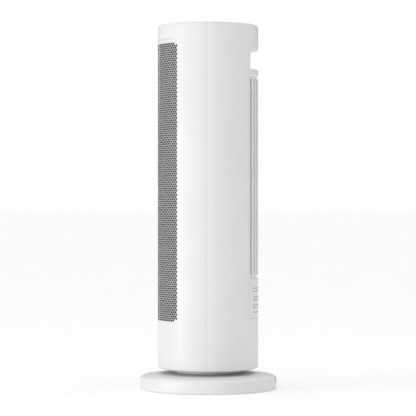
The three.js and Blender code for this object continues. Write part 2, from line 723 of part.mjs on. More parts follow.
function makePowerBoard() {
  const top = POWER_BOARD_BOTTOM + BOARD_THICKNESS;
  return block([-45, 45], [-65, -5], [POWER_BOARD_BOTTOM, top]);
}

function makeHeatSink() {
  const bottom = POWER_BOARD_BOTTOM + BOARD_THICKNESS + GAP;
  const spine = block([-30, 30], [-60, -57], [bottom, bottom + 28]);
  const fins = [-27, -18, -9, 0, 9, 18, 27].map((x) => {
    return block([x - 1, x + 1], [-58, -46], [bottom, bottom + 28]);
  });
  return joined([spine, ...fins]);
}

function makeTopFrame() {
  return ring(66, INNER_RADIUS - GAP, 606, KEY_BOARD_BOTTOM - GAP);
}

function makeKeyBoard() {
  const top = KEY_BOARD_BOTTOM + BOARD_THICKNESS;
  return disc(0, 0, 75, KEY_BOARD_BOTTOM, top, HIDDEN_SIDES);
}

function buttonSpot(index) {
  const turn = (index - (BUTTON_NAMES.length - 1) / 2) * BUTTON_STEP_ANGLE;
  return around(BUTTON_RING_RADIUS, THREE.MathUtils.degToRad(turn - 90));
}

function displayOutline(margin) {
  return roundedRectangle(30 + margin, 8 - margin, 32 + margin, 4 + margin);
}

function makeTopPanel() {
  const rim = BODY_RADIUS - BODY_TOP_FILLET - GAP;
  const throughPanel = [TOP_PANEL_HEIGHT - 10, TOP_PANEL_HEIGHT + 10];
  const bottom = TOP_PANEL_HEIGHT - TOP_PANEL_THICKNESS;
  const plate = disc(0, 0, rim, bottom, TOP_PANEL_HEIGHT, ROUND_SIDES);
  const keyHoles = BUTTON_NAMES.map((_, index) => {
    return disc(...buttonSpot(index), BUTTON_RADIUS + GAP, ...throughPanel);
  });
  return cutBy(plate, [...keyHoles, upright(displayOutline(GAP), ...throughPanel)]);
}

function makeDisplayWindow() {
  return upright(displayOutline(0), TOP_PANEL_HEIGHT - 2.5, TOP_PANEL_HEIGHT);
}

function makeButton(index) {
  const [x, y] = buttonSpot(index);
  const flangeTop = TOP_PANEL_HEIGHT - TOP_PANEL_THICKNESS - GAP;
  const cap = disc(x, y, BUTTON_RADIUS, flangeTop - 1, TOP_PANEL_HEIGHT + 0.4);
  const flange = disc(x, y, BUTTON_RADIUS + 1.5, flangeTop - 2, flangeTop);
  const stem = disc(x, y, 2.5, KEY_BOARD_BOTTOM + BOARD_THICKNESS + 1.8, flangeTop - 1, 12);
  return joined([cap, flange, stem]);
}

// Bundle of wires from the spindle up the side of the duct to the power board.
function makeWireHarness() {
  const [x, y] = HARNESS_SPOT;
  const route = new THREE.CatmullRomCurve3([
    new THREE.Vector3(-56, 6, 50),
    new THREE.Vector3(x + 4, y - 6, 66),
    new THREE.Vector3(x, y, 100),
    new THREE.Vector3(x, y, 310),
    new THREE.Vector3(x, y, 520),
    new THREE.Vector3(x + 2, y - 2, 548),
    new THREE.Vector3(-58, 4, 562),
    new THREE.Vector3(-42, -12, 556),
  ]);
  const section = new THREE.Shape();
  section.absarc(0, 0, 2.5, 0, 2 * Math.PI);
  const options = { steps: 22, extrudePath: route, bevelEnabled: false, curveSegments: 4 };
  return toSolid(new THREE.ExtrudeGeometry(section, options));
}

// ---- assembly -----------------------------------------------------------

place('base_cover', makeBaseCover(), WHITE_PLASTIC);
place('base_plate', makeBasePlate(), DARK_PLASTIC);
place('ballast_ring', makeBallast(), CAST_IRON);
FOOT_ANGLES.forEach((angle, index) => place(`foot_${index + 1}`, makeFoot(angle), RUBBER));
SCREW_ANGLES.forEach((angle, index) => {
  place(`base_screw_${index + 1}`, makeBaseScrew(angle), STEEL);
});
place('neck_ring', makeNeckRing(), WHITE_PLASTIC);
place('glide_ring', makeGlideRing(), PALE_GREY_PLASTIC);
place('swing_motor', makeSwingMotor(), STEEL);
place('tip_over_switch', makeTipOverSwitch(), DARK_PLASTIC);
place('cord_gland', makeCordGland(), RUBBER);

place('turntable', makeTurntable(), DARK_PLASTIC);
place('retaining_washer', makeRetainingWasher(), STEEL);
place('swing_gear', makeSwingGear(), PALE_GREY_PLASTIC);
place('swing_pinion', makeSwingPinion(), PALE_GREY_PLASTIC);

place('front_shell', makeFrontShell(), WHITE_PLASTIC);
place('rear_shell', makeRearShell(), WHITE_PLASTIC);
place('front_grille', makeFrontGrille(), PAINTED_SHEET);
place('bottom_cover', makeBottomCover(), WHITE_PLASTIC);
place('rear_panel', makeRearPanel(), WHITE_PLASTIC);
place('grip_cup', makeGripCup(), WHITE_PLASTIC);
place('filter_screen', makeFilterScreen(), GREY_MESH);

place('lower_frame', makeLowerFrame(), DARK_PLASTIC);
place('lower_deck', makeDeck(LOWER_DECK), DARK_PLASTIC);
place('upper_deck', makeDeck(UPPER_DECK), DARK_PLASTIC);
place('outlet_guard', makeOutletGuard(), DARK_PLASTIC);
place('scroll_wall', makeScrollWall(), DARK_PLASTIC);
place('tongue_wall', makeTongueWall(), DARK_PLASTIC);
place('fan_motor', makeFanMotor(), STEEL);
place('top_bearing', makeTopBearing(), STEEL);
place('fan_wheel', makeFanWheel(), DARK_PLASTIC);
place('wheel_shaft', makeWheelShaft(), STEEL);

place('heater_frame', makeHeaterFrame(), DARK_PLASTIC);
[0, 1, 2].forEach((column) => {
  place(`heating_core_${column + 1}`, makeHeatingCore(column), ALUMINIUM);
});
place('thermal_cutout', makeThermalCutout(), STEEL);

place('power_board', makePowerBoard(), CIRCUIT_BOARD);
place('heat_sink', makeHeatSink(), ALUMINIUM);
place('wire_harness', makeWireHarness(), RUBBER);
place('top_frame', makeTopFrame(), DARK_PLASTIC);
place('key_board', makeKeyBoard(), CIRCUIT_BOARD);
place('top_panel', makeTopPanel(), WHITE_PLASTIC);
place('display_window', makeDisplayWindow(), BLACK_GLOSS);
BUTTON_NAMES.forEach((name, index) => {
  place(`button_${name}`, makeButton(index), PALE_GREY_PLASTIC);
});

export default heater;
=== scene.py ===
import math

import bpy
import numpy as np
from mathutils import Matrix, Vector
from mathutils.geometry import tessellate_polygon


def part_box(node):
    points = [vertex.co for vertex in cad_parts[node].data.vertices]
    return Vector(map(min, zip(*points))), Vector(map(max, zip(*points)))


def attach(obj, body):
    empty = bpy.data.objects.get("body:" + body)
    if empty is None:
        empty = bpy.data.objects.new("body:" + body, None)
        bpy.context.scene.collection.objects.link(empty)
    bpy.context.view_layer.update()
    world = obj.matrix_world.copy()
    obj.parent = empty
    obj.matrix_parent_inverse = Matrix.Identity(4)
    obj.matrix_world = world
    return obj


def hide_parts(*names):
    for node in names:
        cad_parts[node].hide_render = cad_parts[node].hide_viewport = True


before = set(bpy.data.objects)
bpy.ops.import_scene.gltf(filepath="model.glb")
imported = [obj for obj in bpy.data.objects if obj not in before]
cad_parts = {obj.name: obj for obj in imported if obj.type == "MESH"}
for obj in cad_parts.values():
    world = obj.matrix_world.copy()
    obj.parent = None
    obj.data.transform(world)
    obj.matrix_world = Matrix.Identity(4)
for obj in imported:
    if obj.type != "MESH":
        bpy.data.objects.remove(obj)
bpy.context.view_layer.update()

# ---- Studio ---------------------------------------------------------------
# A plain pale floor and soft white light. The camera stands level with the middle of
# the heater and looks at its side, so the warm-air front is towards the left.

scene = bpy.context.scene
scene.view_settings.view_transform = "Standard"

camera_turn = math.radians(90.8)
camera_distance = 3.205
camera_height = 0.314
camera = bpy.data.objects.new("camera", bpy.data.cameras.new("camera"))
camera.data.lens = 159
camera.data.sensor_width = 36
camera.data.clip_end = 300
camera.location = (
    camera_distance * math.sin(camera_turn),
    -camera_distance * math.cos(camera_turn),
    camera_height,
)
camera.rotation_euler = (math.pi / 2, 0, camera_turn)
scene.collection.objects.link(camera)
scene.camera = camera


def softbox(name, side_turn, reach, height, width, tall, power):
    """An upright soft light, turned from the lens about the heater and aimed at its middle."""
    turn = camera_turn - math.radians(side_turn)
    place = Vector((reach * math.sin(turn), -reach * math.cos(turn), height))
    lamp = bpy.data.lights.new(name, "AREA")
    lamp.shape = "RECTANGLE"
    lamp.size = width
    lamp.size_y = tall
    lamp.energy = power
    holder = bpy.data.objects.new(name, lamp)
    holder.location = place
    holder.rotation_euler = (Vector((0, 0, camera_height)) - place).to_track_quat("-Z", "Y").to_euler()
    scene.collection.objects.link(holder)


softbox("key_softbox", 65, 2.4, 0.7, 0.7, 1.6, 7.5)
softbox("lens_softbox", 20, 2.4, 0.7, 0.7, 1.6, 3.4)
softbox("rear_softbox", -110, 2.4, 0.7, 0.7, 1.6, 1.0)
softbox("low_key_softbox", 60, 2.4, 0.1, 1.2, 0.2, 9.7)
softbox("low_rear_softbox", -60, 2.4, 0.1, 1.2, 0.2, 1.3)


def add_node(tree, kind, **settings):
    """A shader node of that kind, with its own properties and input values set by name."""
    node = tree.nodes.new(kind)
    for key, value in settings.items():
        if key in node.inputs:
            node.inputs[key].default_value = value
        else:
            setattr(node, key, value)
    return node


def white_room(level_light, overhead_light):
    """White all round for the lens; for lighting, it grows from the horizon to overhead."""
    world = bpy.data.worlds.new("white_room")
    world.use_nodes = True
    tree = world.node_tree
    tree.nodes.clear()
    direction = add_node(tree, "ShaderNodeTexCoord")
    split = add_node(tree, "ShaderNodeSeparateXYZ")
    level = add_node(tree, "ShaderNodeMapRange")
    level.inputs["From Min"].default_value = 0.0
    level.inputs["From Max"].default_value = 1.0
    level.inputs["To Min"].default_value = level_light
    level.inputs["To Max"].default_value = overhead_light
    path = add_node(tree, "ShaderNodeLightPath")
    lit = add_node(tree, "ShaderNodeBackground")
    seen = add_node(tree, "ShaderNodeBackground", Strength=1.0)
    seen.inputs["Color"].default_value = (1, 1, 1, 1)
    mix = add_node(tree, "ShaderNodeMixShader")
    out = add_node(tree, "ShaderNodeOutputWorld")
    tree.links.new(direction.outputs["Generated"], split.inputs[0])
    tree.links.new(split.outputs["Z"], level.inputs["Value"])
    tree.links.new(level.outputs[0], lit.inputs["Strength"])
    tree.links.new(path.outputs["Is Camera Ray"], mix.inputs[0])
    tree.links.new(lit.outputs[0], mix.inputs[1])
    tree.links.new(seen.outputs[0], mix.inputs[2])
    tree.links.new(mix.outputs[0], out.inputs[0])
    return world


scene.world = white_room(0.0, 1.69)


def noise_between(tree, source, scale, low, high, detail=2.0):
    """A value that wanders from low to high with a noise of that scale over the piece."""
    noise = add_node(tree, "ShaderNodeTexNoise", Scale=scale, Detail=detail)
    spread = add_node(tree, "ShaderNodeMapRange")
    spread.inputs["From Min"].default_value = 0.3
    spread.inputs["From Max"].default_value = 0.7
    spread.inputs["To Min"].default_value = low
    spread.inputs["To Max"].default_value = high
    tree.links.new(source, noise.inputs["Vector"])
    tree.links.new(noise.outputs[0], spread.inputs["Value"])
    return spread.outputs[0]


def finish_of(name, dark, light, roughness, grain, relief, patch=14.0, metallic=0.0, **sockets):
    """A surface whose colour drifts between two tones, with its own gloss range and fine grain.

    roughness is (lowest, highest), grain is the noise scale per metre and relief its height in
    metres; further values go on the shader's own sockets.
    """
    material = bpy.data.materials.new(name)
    material.use_nodes = True
    tree = material.node_tree
    shader = tree.nodes["Principled BSDF"]
    shader.inputs["Metallic"].default_value = metallic
    for key, value in sockets.items():
        shader.inputs[key.replace("_", " ")].default_value = value
    place = add_node(tree, "ShaderNodeTexCoord").outputs["Object"]
    tones = add_node(tree, "ShaderNodeMix", data_type="RGBA")
    tones.inputs["A"].default_value = (*dark, 1)
    tones.inputs["B"].default_value = (*light, 1)
    tree.links.new(noise_between(tree, place, patch, 0.0, 1.0), tones.inputs["Factor"])
    tree.links.new(tones.outputs["Result"], shader.inputs["Base Color"])
    tree.links.new(noise_between(tree, place, grain / 6, *roughness), shader.inputs["Roughness"])
    bump = add_node(tree, "ShaderNodeBump", Strength=1.0, Distance=relief)
    texture = add_node(tree, "ShaderNodeTexNoise", Scale=grain, Detail=3.0)
    tree.links.new(place, texture.inputs["Vector"])
    tree.links.new(texture.outputs[0], bump.inputs["Height"])
    tree.links.new(bump.outputs[0], shader.inputs["Normal"])
    return material


floor_finish = finish_of(
    "floor_paper", (0.90, 0.90, 0.90), (0.92, 0.92, 0.92), (0.8, 0.9), 60, 0.0,
    Specular_IOR_Level=0.0, Emission_Strength=0.139,
)
floor_mesh = bpy.data.meshes.new("floor")
floor_reach = 120
floor_mesh.from_pydata(
    [(-floor_reach, -floor_reach, 0), (floor_reach, -floor_reach, 0),
     (floor_reach, floor_reach, 0), (-floor_reach, floor_reach, 0)],
    [], [(0, 1, 2, 3)],
)
floor_mesh.materials.append(floor_finish)
floor = bpy.data.objects.new("floor", floor_mesh)
scene.collection.objects.link(floor)

# ---- Base cover -----------------------------------------------------------
# The wide round foot: one white moulding with a slightly drafted wall, a sloping shoulder
# and a top that rises gently to the neck. It is satin plastic from a lightly grained mould.

white_plastic = finish_of(
    "satin_white_plastic", (0.80, 0.80, 0.798), (0.825, 0.825, 0.822), (0.36, 0.46), 2600, 0.00002,
)


def grid_faces(rows, columns, closed_rows=False, closed_columns=False):
    """Four-cornered faces between neighbouring rows and columns; a closed way joins up its ends."""
    row = np.arange(rows if closed_rows else rows - 1)[:, None]
    column = np.arange(columns if closed_columns else columns - 1)[None, :]
    next_row = (row + 1) % rows
    next_column = (column + 1) % columns
    corners = [
        row * columns + column,
        row * columns + next_column,
        next_row * columns + next_column,
        next_row * columns + column,
    ]
    return np.stack(np.broadcast_arrays(*corners), axis=-1).reshape(-1, 4)


def filleted(corners, steps=6):
    """An outline through corners (across, up, radius): each corner is an arc touching both edges."""
    spots = np.array([corner[:2] for corner in corners], float)
    runs = []
    for index, (_, _, radius) in enumerate(corners):
        here = spots[index]
        back = spots[index - 1] - here
        ahead = spots[(index + 1) % len(spots)] - here
        back = back / np.linalg.norm(back)
        ahead = ahead / np.linalg.norm(ahead)
        if radius == 0:
            runs.append(here[None])
            continue
        half = np.arccos(np.clip(back @ ahead, -1, 1)) / 2
        middle = back + ahead
        centre = here + middle / np.linalg.norm(middle) * radius / np.sin(half)
        start = here + back * radius / np.tan(half) - centre
        end = here + ahead * radius / np.tan(half) - centre
        sweep = np.pi - 2 * half
        share = np.linspace(0, 1, steps)[:, None]
        leaving, arriving = np.sin((1 - share) * sweep) * start, np.sin(share * sweep) * end
        runs.append(centre + (leaving + arriving) / np.sin(sweep))
    return np.concatenate(runs)


def turned(profile, steps=160, centre=(0, 0)):
    """A closed outline of (radius, height), anticlockwise, carried once round an upright axis."""
    angle = np.linspace(0, 2 * np.pi, steps, endpoint=False)
    radius, height = profile[:, 0][:, None], profile[:, 1][:, None]
    points = np.stack(
        [
            centre[0] + radius * np.cos(angle),
            centre[1] + radius * np.sin(angle),
            height + 0 * angle,
        ],
        axis=-1,
    )
    return points.reshape(-1, 3), grid_faces(len(profile), steps, True, True)


def add_piece(name, points, faces, material, body, slot, stands_for=(), crease=32):
    """A piece from points in millimetres and their faces, smooth up to the crease angle."""
    mesh = bpy.data.meshes.new(name)
    mesh.from_pydata((np.asarray(points) / 1000).tolist(), [], [list(face) for face in faces])
    mesh.validate()
    mesh.shade_smooth()
    mesh.set_sharp_from_angle(angle=math.radians(crease))
    mesh.materials.append(material)
    thing = bpy.data.objects.new(name, mesh)
    scene.collection.objects.link(thing)
    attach(thing, body)
    if stands_for:
        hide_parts(*stands_for)
    return thing


base_low, base_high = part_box("base_cover")
base_radius = base_high.x * 1000
base_crown = base_high.z * 1000
base_foot = base_low.z * 1000
wall_height = 20.4
wall_radius = base_radius - 1.1
shoulder_radius = 112.5
shoulder_height = 23.4
neck_hole = 50
base_outline = filleted([
    (base_radius - 2.5, base_foot, 0.2),
    (base_radius, base_foot, 0.5),
    (wall_radius, wall_height, 0.7),
    (shoulder_radius, shoulder_height, 12),
    (84, 26.3, 60),
    (neck_hole, base_crown, 0.2),
    (neck_hole, base_crown - 2.5, 0.2),
    (84, 23.8, 50),
    (shoulder_radius - 1.5, shoulder_height - 2.6, 8),
    (wall_radius - 2.5, wall_height - 2.4, 0.8),
])
add_piece("base_dome", *turned(base_outline, 256), white_plastic, "base", "white_shell", ["base_cover"])

# ---- Base underside and works -----------------------------------------------
# A dark plate closes the base, with rubber pads and zinc screws. Ballast, swing motor and
# tip-over switch sit on it. They keep their plain shapes and get their own finishes.

dark_plastic = finish_of(
    "dark_plastic", (0.052, 0.053, 0.055), (0.068, 0.069, 0.071), (0.5, 0.62), 1800, 0.00003,
)
pad_rubber = finish_of("pad_rubber", (0.02, 0.02, 0.021), (0.03, 0.03, 0.031), (0.75, 0.9), 900, 0.00006)
zinc_steel = finish_of(
    "zinc_steel", (0.5, 0.51, 0.53), (0.62, 0.63, 0.65), (0.25, 0.42), 700, 0.00002, metallic=1.0,
)
cast_ballast = finish_of(
    "cast_ballast", (0.07, 0.07, 0.072), (0.12, 0.12, 0.122), (0.6, 0.8), 260, 0.0002, metallic=0.7,
)
pale_plastic = finish_of(
    "pale_grey_plastic", (0.52, 0.52, 0.53), (0.56, 0.56, 0.57), (0.4, 0.5), 2200, 0.00002,
)


def give(material, *nodes):
    """These parts of the frame keep their shape and take this finish."""
    for node in nodes:
        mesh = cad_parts[node].data
        mesh.materials.clear()
        mesh.materials.append(material)


give(dark_plastic, "base_plate", "tip_over_switch")
give(pad_rubber, *[f"foot_{number}" for number in range(1, 5)])
give(zinc_steel, *[f"base_screw_{number}" for number in range(1, 5)], "swing_motor")
give(cast_ballast, "ballast_ring")
give(pale_plastic, "glide_ring")

# ---- Cord gland -----------------------------------------------------------
# A rubber bush in the rear of the base, flush with its wall, with an open bore for the
# mains lead. It is turned: barrel, inner flange and a thin rounded outer lip.

gland_low, gland_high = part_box("cord_gland")
gland_height = (gland_low.z + gland_high.z) * 500
gland_outline = filleted([
    (3.6, 101, 0.3),
    (7, 101, 0.5),
    (7, 104, 0.5),
    (5.5, 104.6, 0.2),
    (5.5, 117.4, 0.2),
    (7.2, 117.5, 0.1),
    (7.2, 118.5, 0.5),
    (4.6, 118.9, 0.6),
    (3.6, 117.6, 0.4),
])
gland_points, gland_faces = turned(gland_outline, 64)
gland_points = gland_points[:, [0, 2, 1]] * [-1, 1, 1] + [0, 0, gland_height]
add_piece("gland_bush", gland_points, gland_faces, pad_rubber, "base", "rubber_parts", ["cord_gland"])

# ---- Neck -----------------------------------------------------------------
# The white collar in the shadow gap between base and tower. It is a fixed ring with one
# fine groove round it and a soft upper edge; the tower's turntable runs on it.

neck_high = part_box("neck_ring")[1]
neck_radius = neck_high.x * 1000
neck_top = neck_high.z * 1000
neck_foot = base_crown + 0.3
spindle_bore = 20.6
sleeve_bore = 44
sleeve_radius = 49.7
sleeve_foot = 22.3
web_foot, web_top = 27.5, 31
neck_outline = filleted([
    (spindle_bore, web_foot, 0),
    (sleeve_bore, web_foot, 0),
    (sleeve_bore, sleeve_foot, 0.3),
    (sleeve_radius, sleeve_foot, 0.3),
    (sleeve_radius, neck_foot, 0),
    (neck_radius, neck_foot, 0.4),
    (neck_radius, 31.5, 0.2),
    (neck_radius - 0.8, 31.8, 0.2),
    (neck_radius - 0.8, 32.4, 0.2),
    (neck_radius, 32.7, 0.2),
    (neck_radius, neck_top, 0.8),
    (sleeve_bore, neck_top, 0.3),
    (sleeve_bore, web_top, 0),
    (spindle_bore, web_top, 0),
], steps=4)
add_piece("neck_collar", *turned(neck_outline, 192), white_plastic, "base", "white_shell", ["neck_ring"])

# ---- Tower shells ---------------------------------------------------------
# Two white half shells that meet in a fine upright line on each side. Each is one moulding
# with a wide window, the front one for the grille and the rear one for the intake panel.
# Their inner sides are near black: painted shade for the dark inside of the tower.

edge_break = 0.06
shell_low, shell_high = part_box("front_shell")
body_radius = shell_high.x * 1000
body_bottom = shell_low.z * 1000
body_top = shell_high.z * 1000
shell_wall = 2.5
bottom_fillet = 5
top_fillet = 3
lip_radius = 78
seam_gap = 0.05
FRONT, REAR = -1, 1


def weld(points, faces):
    """Points that coincide to a ten-thousandth of a millimetre become one."""
    keys = np.round(points, 4) + 0.0
    unique, index = np.unique(keys, axis=0, return_inverse=True)
    return unique, index.reshape(-1)[faces]


def wrapped(side, turn, radius, height):
    """Turn about the axis from the middle of the front or rear, radius and height, as points."""
    turn, radius, height = np.broadcast_arrays(turn, radius, height)
    return np.stack([-side * radius * np.sin(turn), side * radius * np.cos(turn), height], axis=-1)


def window_rings(half, low, high, corner, reach, bottom, top, arc_steps, straight_steps):
    """Matching points round a window with round corners and round the field that holds it.

    Each side runs from corner to corner anticlockwise: the second half of one corner's arc,
    the straight, and the first half of the next arc. The field's points stand opposite.
    """
    centres = np.array([
        [corner - half, low + corner], [half - corner, low + corner],
        [half - corner, high - corner], [corner - half, high - corner],
    ])
    field = np.array([[-reach, bottom], [reach, bottom], [reach, top], [-reach, top]])
    share = np.linspace(0, 1, arc_steps, endpoint=False)[:, None]
    inner, outer = [], []
    for side in range(4):
        first = np.radians(225 + 90 * side)
        here, there = centres[side], centres[(side + 1) % 4]
        turn_in = first + share * np.pi / 4
        turn_out = turn_in + np.pi / 4
        square = corner * np.array([np.cos(first + np.pi / 4), np.sin(first + np.pi / 4)])
        start, end = here + square, there + square
        straight = np.linspace(0, 1, straight_steps[side % 2], endpoint=False)[:, None]
        inner += [
            here + corner * np.hstack([np.cos(turn_in), np.sin(turn_in)]),
            start + (end - start) * straight,
            there + corner * np.hstack([np.cos(turn_out), np.sin(turn_out)]),
        ]
        near, far = field[side], field[(side + 1) % 4]
        foot, head = near.copy(), far.copy()
        foot[side % 2] = start[side % 2]
        head[side % 2] = end[side % 2]
        outer += [
            near + (foot - near) * share,
            foot + (head - foot) * straight,
            head + (far - head) * share,
        ]
    return np.concatenate(inner), np.concatenate(outer)


def half_shell(side, half, low, high, corner, groove=None, roll=0.0):
    """Half of the tower's skin: a field round the window, then the lip fillets below and above.

    The groove, (low, high, half length, depth), sinks the skin between two rings over the window.
    The window's edge rolls inwards by a depth that falls off over the nearest rings, in full
    along its top and by a quarter elsewhere.
    """
    reach = body_radius * np.pi / 2 - seam_gap
    bottom = body_bottom + bottom_fillet
    top = body_top - top_fillet
    arc_steps, straight_steps = 12, (56, 60)
    inner, outer = window_rings(half, low, high, corner, reach, bottom, top, arc_steps, straight_steps)
    shares = [1.0, 0.86, 0.72, 0.58, 0.46, 0.35, 0.28, 0.06, 0.04, 0.02, 0.008, 0.0]
    if groove:
        edges = [(height - high) / (top - high) for height in groove[:2]]
        shares = sorted([*shares, edges[1] + 0.002, edges[1], edges[0], edges[0] - 0.002], reverse=True)
    share = np.array(shares)[:, None]
    across = inner[None, :, 0] * (1 - share) + outer[None, :, 0] * share
    height = inner[None, :, 1] * (1 - share) + outer[None, :, 1] * share
    along_top = np.where(inner[:, 1] > high - corner, 1.0, 0.25)
    roll_depths = [roll, roll * 0.5, roll * 0.2, roll * 0.04, 0]
    sunk = np.interp(share, [0, 0.008, 0.02, 0.04, 0.06], roll_depths) * along_top
    columns = across.shape[1]
    side_columns = 2 * arc_steps + straight_steps[0]
    top_start = columns // 2
    if groove:
        is_groove = np.isin(np.round(share, 6), np.round(edges, 6)) & (np.abs(across) < groove[2])
        is_groove[:, :top_start] = False
        is_groove[:, top_start + side_columns:] = False
        sunk[is_groove] = groove[3]
    field = wrapped(side, across / body_radius, body_radius - sunk, height)
    pieces = [(field.reshape(-1, 3), grid_faces(len(shares), columns, False, True))]
    lower = np.radians(np.linspace(-90, 0, 8))
    upper = np.radians(np.linspace(0, 90, 7))
    rings = [
        (
            outer[: side_columns + 1, 0],
            np.concatenate([[lip_radius], body_radius - bottom_fillet * (1 - np.cos(lower))]),
            np.concatenate([[body_bottom], bottom + bottom_fillet * np.sin(lower)]),
        ),
        (
            outer[top_start: top_start + side_columns + 1, 0][::-1],
            body_radius - top_fillet * (1 - np.cos(upper)),
            top + top_fillet * np.sin(upper),
        ),
    ]
    for along, radius, level in rings:
        strip = wrapped(side, along[None] / body_radius, radius[:, None], level[:, None])
        pieces.append((strip.reshape(-1, 3), grid_faces(len(radius), len(along))))
    starts = np.cumsum([0, *[len(points) for points, _ in pieces[:-1]]])
    points = np.concatenate([points for points, _ in pieces])
    faces = np.concatenate([faces + start for start, (_, faces) in zip(starts, pieces)])
    return weld(points, faces)


def give_wall(thing, thickness, edge=0.25, inner_shade=None):
    """The moulding's wall grows inwards from its outer skin, and its sharp edges are broken.

    The inner side may take a finish of its own, such as the near-black painted shade.
    """
    wall = thing.modifiers.new("wall", "SOLIDIFY")
    wall.thickness = thickness / 1000
    wall.offset = -1
    wall.use_even_offset = True
    if inner_shade:
        thing.data.materials.append(inner_shade)
        wall.material_offset = 1
    broken = thing.modifiers.new("broken_edges", "BEVEL")
    broken.width = edge / 1000
    broken.segments = 2
    broken.limit_method = "ANGLE"
    broken.angle_limit = math.radians(50)
    return thing


# Near black for the inner sides of the casings and the grip pocket: painted shade for the dark inside of
# the tower.
painted_shade_lining = finish_of(
    "painted_shade_lining", (0.008, 0.008, 0.009), (0.012, 0.012, 0.013), (0.85, 0.95), 1200, 0.00003,
    Specular_IOR_Level=0.1,
)
grille_low, grille_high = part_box("front_grille")
grille_half = body_radius * np.arcsin(grille_high.x * 1000 / body_radius)
grille_corner = 5
front_window = (grille_half + 0.1, grille_low.z * 1000 - 0.1, grille_high.z * 1000 + 0.1, grille_corner)
front_casing = add_piece(
    "front_casing", *half_shell(FRONT, *front_window, groove=(603.0, 604.9, 77.7, 2.0)),
    white_plastic, "tower", "white_shell", ["front_shell"],
)
# The inner side of each casing takes the near-black painted shade.
give_wall(front_casing, shell_wall, edge_break, painted_shade_lining)

panel_low, panel_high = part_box("rear_panel")
panel_half = body_radius * np.arcsin(panel_high.x * 1000 / body_radius)
cup_low, cup_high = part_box("grip_cup")
overhang = cup_high.z * 1000 - 2.5
rear_window = (panel_half + 0.35, panel_low.z * 1000 - 0.35, overhang, 5)
rear_casing = add_piece(
    "rear_casing", *half_shell(REAR, *rear_window, roll=1.3), white_plastic, "tower", "white_shell",
    ["rear_shell"],
)
give_wall(rear_casing, shell_wall, edge_break, painted_shade_lining)

ring_low, ring_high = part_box("bottom_cover")
ring_foot, ring_top = ring_low.z * 1000, ring_high.z * 1000
cover_outline = filleted([
    (neck_radius + 1.5, ring_foot, 0.3), (lip_radius - 0.3, ring_foot, 0.3),
    (lip_radius - 0.3, ring_top, 0), (neck_radius + 1.5, ring_top, 0.3),
])
add_piece(
    "bottom_ring", *turned(cover_outline, 160), white_plastic, "tower", "white_shell", ["bottom_cover"],
)

# ---- Front grille ---------------------------------------------------------
# A thin steel sheet, punched with staggered oval holes and bent to the tower's curve.
# Its face is coated white; the hole walls, rim and back are near black, painted shade for the shadow
# inside the holes. It is made as a lower and an upper length that meet along a row of holes.

hole_half_width = 2.2
hole_half_height = 1.95
column_pitch = 5.03
row_pitch = 3.6455
row_count = 131
first_row = 121.3
field_half = 80.8
field_corner = 5
sheet_thickness = 0.45

# Near black for the hole walls, rim and back of the sheet: painted shade inside the holes.
hole_shade_paint = finish_of(
    "hole_painted_shade", (0.008, 0.008, 0.009), (0.012, 0.012, 0.013), (0.8, 0.9), 900, 0.00003,
    Specular_IOR_Level=0.1,
)
coated_sheet = finish_of(
    "white_coated_sheet", (0.76, 0.76, 0.758), (0.79, 0.79, 0.787), (0.42, 0.52), 2200, 0.00002,
)


def inside_by(points, half, low, high, corner):
    """How far points lie inside a rectangle with round corners; outside it the figure is negative."""
    centre = np.array([0, (low + high) / 2])
    size = np.array([half - corner, (high - low) / 2 - corner])
    beyond = np.abs(points - centre) - size
    outside = np.linalg.norm(np.maximum(beyond, 0), axis=-1)
    return corner - outside - np.minimum(np.maximum(beyond[..., 0], beyond[..., 1]), 0)


def pulled_in(points, half, low, high, corner):
    """Points outside the rectangle with round corners move to the nearest place on its edge."""
    centre = np.array([0, (low + high) / 2])
    size = np.array([half - corner, (high - low) / 2 - corner])
    core = np.clip(points - centre, -size, size)
    away = points - centre - core
    length = np.linalg.norm(away, axis=-1, keepdims=True)
    scale = np.minimum(1, corner / np.maximum(length, 1e-9))
    return centre + core + away * scale


def punched_sheet(centres, open_cells, cell, hole, outline, side, radius, thickness):
    """A sheet of equal cells, each a ring of faces between the cell's outline and its hole.

    Cells over the sheet's edge are pulled in to it and stay blank. Front and back have the same
    points at two radii, joined through every hole and round the rim. Returns points, faces and
    how many of the faces are the coated front.
    """
    count = len(cell)
    rim = pulled_in(centres[:, None] + cell, *outline)
    flat, index = np.unique(np.round(rim.reshape(-1, 2), 3), axis=0, return_inverse=True)
    index = index.reshape(-1, count)
    holes = (centres[open_cells][:, None] + hole).reshape(-1, 2)
    flat = np.concatenate([flat, holes])
    total = len(flat)
    cell_rim = index[open_cells]
    hole_rim = (total - len(holes)) + np.arange(len(holes)).reshape(-1, count)
    ahead = np.roll(np.arange(count), -1)
    front = np.stack([cell_rim, cell_rim[:, ahead], hole_rim[:, ahead], hole_rim], axis=-1).reshape(-1, 4)
    walls = np.stack([hole_rim, hole_rim[:, ahead], hole_rim[:, ahead] + total, hole_rim + total], axis=-1)
    blanks = index[~open_cells]
    corners = flat[blanks]
    nexts = corners[:, ahead]
    area = np.abs((corners[..., 0] * nexts[..., 1] - corners[..., 1] * nexts[..., 0]).sum(axis=1)) / 2
    blanks = blanks[area > 0.05]
    blank_faces = [[p for p, q in zip(face, face[1:] + face[:1]) if p != q] for face in blanks.tolist()]
    kept = np.concatenate([cell_rim, blanks])
    edges = np.stack([kept, kept[:, ahead]], axis=-1).reshape(-1, 2)
    edges = edges[edges[:, 0] != edges[:, 1]]
    free = edges[~np.isin(edges[:, 0] * total + edges[:, 1], edges[:, 1] * total + edges[:, 0])]
    rim_walls = np.stack([free[:, 1], free[:, 0], free[:, 0] + total, free[:, 1] + total], axis=-1)
    face_up = front.tolist() + blank_faces
    face_down = (front[:, ::-1] + total).tolist()
    face_down += [[p + total for p in face[::-1]] for face in blank_faces]
    faces = face_up + walls.reshape(-1, 4).tolist() + rim_walls.tolist() + face_down
    turn = flat[:, 0] / radius
    points = np.concatenate([
        wrapped(side, turn, radius, flat[:, 1]), wrapped(side, turn, radius - thickness, flat[:, 1]),
    ])
    return points, faces, len(face_up)


